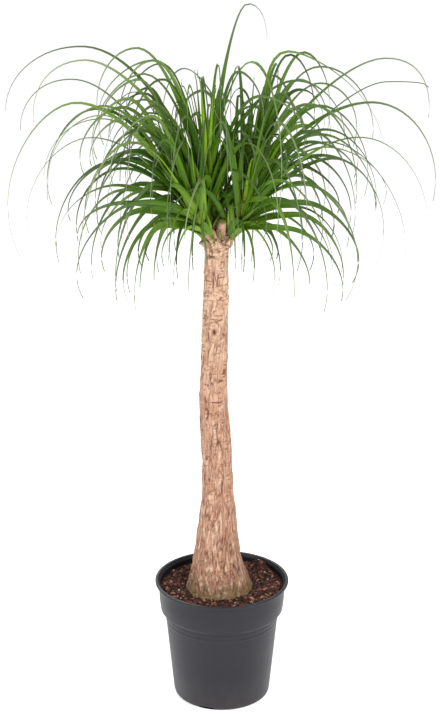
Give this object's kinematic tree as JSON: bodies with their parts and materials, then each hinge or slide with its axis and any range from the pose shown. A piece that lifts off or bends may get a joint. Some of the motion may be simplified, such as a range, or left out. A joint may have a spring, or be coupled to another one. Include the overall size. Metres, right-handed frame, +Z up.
{
  "type": "potted ponytail palm",
  "caption": "Ponytail palm with a swollen-based bare trunk and a fountain of long thin arching leaves, in a round tapered nursery pot with soil.",
  "frame": {"origin": "middle of the pot's base, on the surface that it stands on", "axes": "+Z up along the plant, +X to the right and -Y to the front as the plant is shown"},
  "size_m": [0.7275, 0.5974, 1.255],
  "materials": {
    "pot": "satin anthracite moulded polypropylene",
    "soil": "coarse dark brown potting mix of fine bark and peat",
    "bark": "dry tan bark with fine cracks",
    "leaf": "smooth waxy green leaf, thin grey-green tips",
    "young_leaf": "smooth waxy lime green young leaf"
  },
  "bodies": {
    "root": {"pot": "pot", "soil": "soil", "trunk": "bark", "bud_back": "young_leaf", "bud_centre": "young_leaf", "bud_front": "young_leaf", "bud_left": "young_leaf", "bud_right": "young_leaf", "leaf_back_02": "leaf", "leaf_back_04": "leaf", "leaf_back_06": "leaf", "leaf_back_07": "leaf", "leaf_back_09": "leaf", "leaf_back_12": "leaf", "leaf_back_14": "leaf", "leaf_back_17": "leaf", "leaf_centre_01": "leaf", "leaf_centre_02": "leaf", "leaf_centre_04": "leaf", "leaf_centre_05": "leaf", "leaf_centre_07": "leaf", "leaf_centre_09": "leaf", "leaf_centre_10": "leaf", "leaf_centre_13": "leaf", "leaf_centre_14": "leaf", "leaf_centre_15": "leaf", "leaf_centre_16": "leaf", "leaf_centre_18": "leaf", "leaf_centre_34": "leaf", "leaf_front_12": "leaf", "leaf_left_05": "leaf", "leaf_left_10": "leaf", "leaf_left_12": "leaf", "leaf_long_00": "leaf", "leaf_long_01": "leaf", "leaf_long_05": "leaf", "leaf_long_06": "leaf", "leaf_long_09": "leaf", "leaf_long_11": "leaf", "leaf_long_14": "leaf", "leaf_long_16": "leaf", "leaf_long_17": "leaf", "leaf_long_18": "leaf", "leaf_long_20": "leaf", "leaf_long_22": "leaf", "leaf_long_31": "leaf", "leaf_long_33": "leaf", "leaf_long_34": "leaf", "leaf_long_35": "leaf", "leaf_right_05": "leaf", "leaf_right_10": "leaf", "leaf_right_15": "leaf"}
  },
  "joints": []
}
